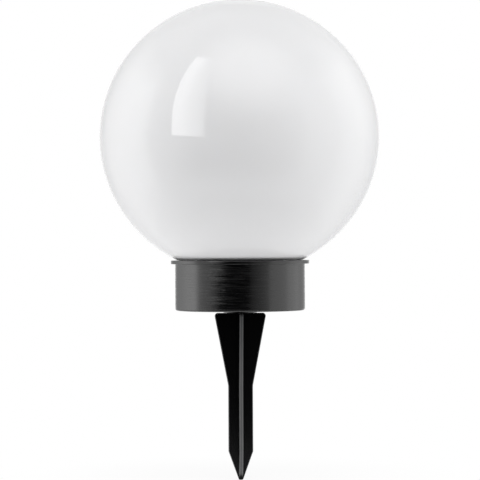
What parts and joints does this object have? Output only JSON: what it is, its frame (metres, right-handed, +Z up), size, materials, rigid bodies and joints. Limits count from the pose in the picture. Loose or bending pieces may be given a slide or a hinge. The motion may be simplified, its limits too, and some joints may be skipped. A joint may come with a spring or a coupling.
{
  "type": "solar garden globe light",
  "caption": "Opal white ball light on a low round black base with a rim, pushed onto a black cross-finned ground stake; solar deck, battery and switch inside.",
  "frame": {"origin": "on the stake's axis at ground level, in the plane of the base's underside, where the soil ends", "axes": "+Z up through the globe, -Z down the stake, -Y the front with the switch and the battery lid, +X to the right seen from the front"},
  "size_m": [0.2, 0.2, 0.3433],
  "materials": {
    "opal_white": "gloss",
    "base_black": "satin",
    "stake_black": "satin",
    "deck_white": "matte",
    "screw_steel": "satin",
    "seal_black": "matte",
    "panel_backing": "matte",
    "cell_blue": "gloss",
    "panel_window": "gloss",
    "led_clear": "gloss",
    "tinned": "satin",
    "board_green": "satin",
    "chip_black": "matte",
    "ferrite_grey": "matte",
    "capacitor_blue": "gloss",
    "cell_metal": "satin",
    "cell_sleeve": "gloss",
    "spring_steel": "satin",
    "switch_black": "matte",
    "wire_red": "satin",
    "wire_black": "satin",
    "wire_yellow": "satin"
  },
  "bodies": {
    "stake": {"ground_stake": "stake_black"},
    "base": {"base_housing": "base_black", "deck_plate": "deck_white", "deck_screws": "screw_steel", "solar_backing": "panel_backing", "solar_cells": "cell_blue", "solar_window": "panel_window", "led_lenses": "led_clear", "led_leads": "tinned", "circuit_board": "board_green", "board_screws": "screw_steel", "driver_chip": "chip_black", "inductor": "ferrite_grey", "capacitor": "capacitor_blue", "battery_can": "cell_metal", "battery_sleeve": "cell_sleeve", "battery_contacts": "spring_steel", "battery_spring": "spring_steel", "switch_case": "switch_black", "red_wires": "wire_red", "black_wires": "wire_black", "switch_wires": "wire_yellow"},
    "lid": {"battery_lid": "deck_white"},
    "switch": {"switch_knob": "switch_black"},
    "seal": {"neck_seal": "seal_black"},
    "globe": {"globe_shell": "opal_white"}
  },
  "joints": [
    {"name": "base_lift", "type": "slide", "parent": "stake", "child": "base", "axis": [0, 0, 1], "range_m": [0, 0.03]},
    {"name": "lid_hinge", "type": "hinge", "parent": "base", "child": "lid", "pos_m": [0, -0.01505, 0.0254], "axis": [-1, 0, 0], "range_deg": [0, 110]},
    {"name": "switch_slide", "type": "slide", "parent": "base", "child": "switch", "axis": [1, 0, 0], "range_m": [0, 0.003]},
    {"name": "globe_turn", "type": "hinge", "parent": "base", "child": "seal", "pos_m": [0, 0, 0], "axis": [0, 0, 1], "range_deg": [0, 360]},
    {"name": "globe_rise", "type": "slide", "parent": "seal", "child": "globe", "axis": [0, 0, 1], "range_m": [0, 0.02]}
  ],
  "couplings": [
    {"joint": "globe_rise", "follows": "globe_turn", "m_per_rad": 0.0031831}
  ]
}
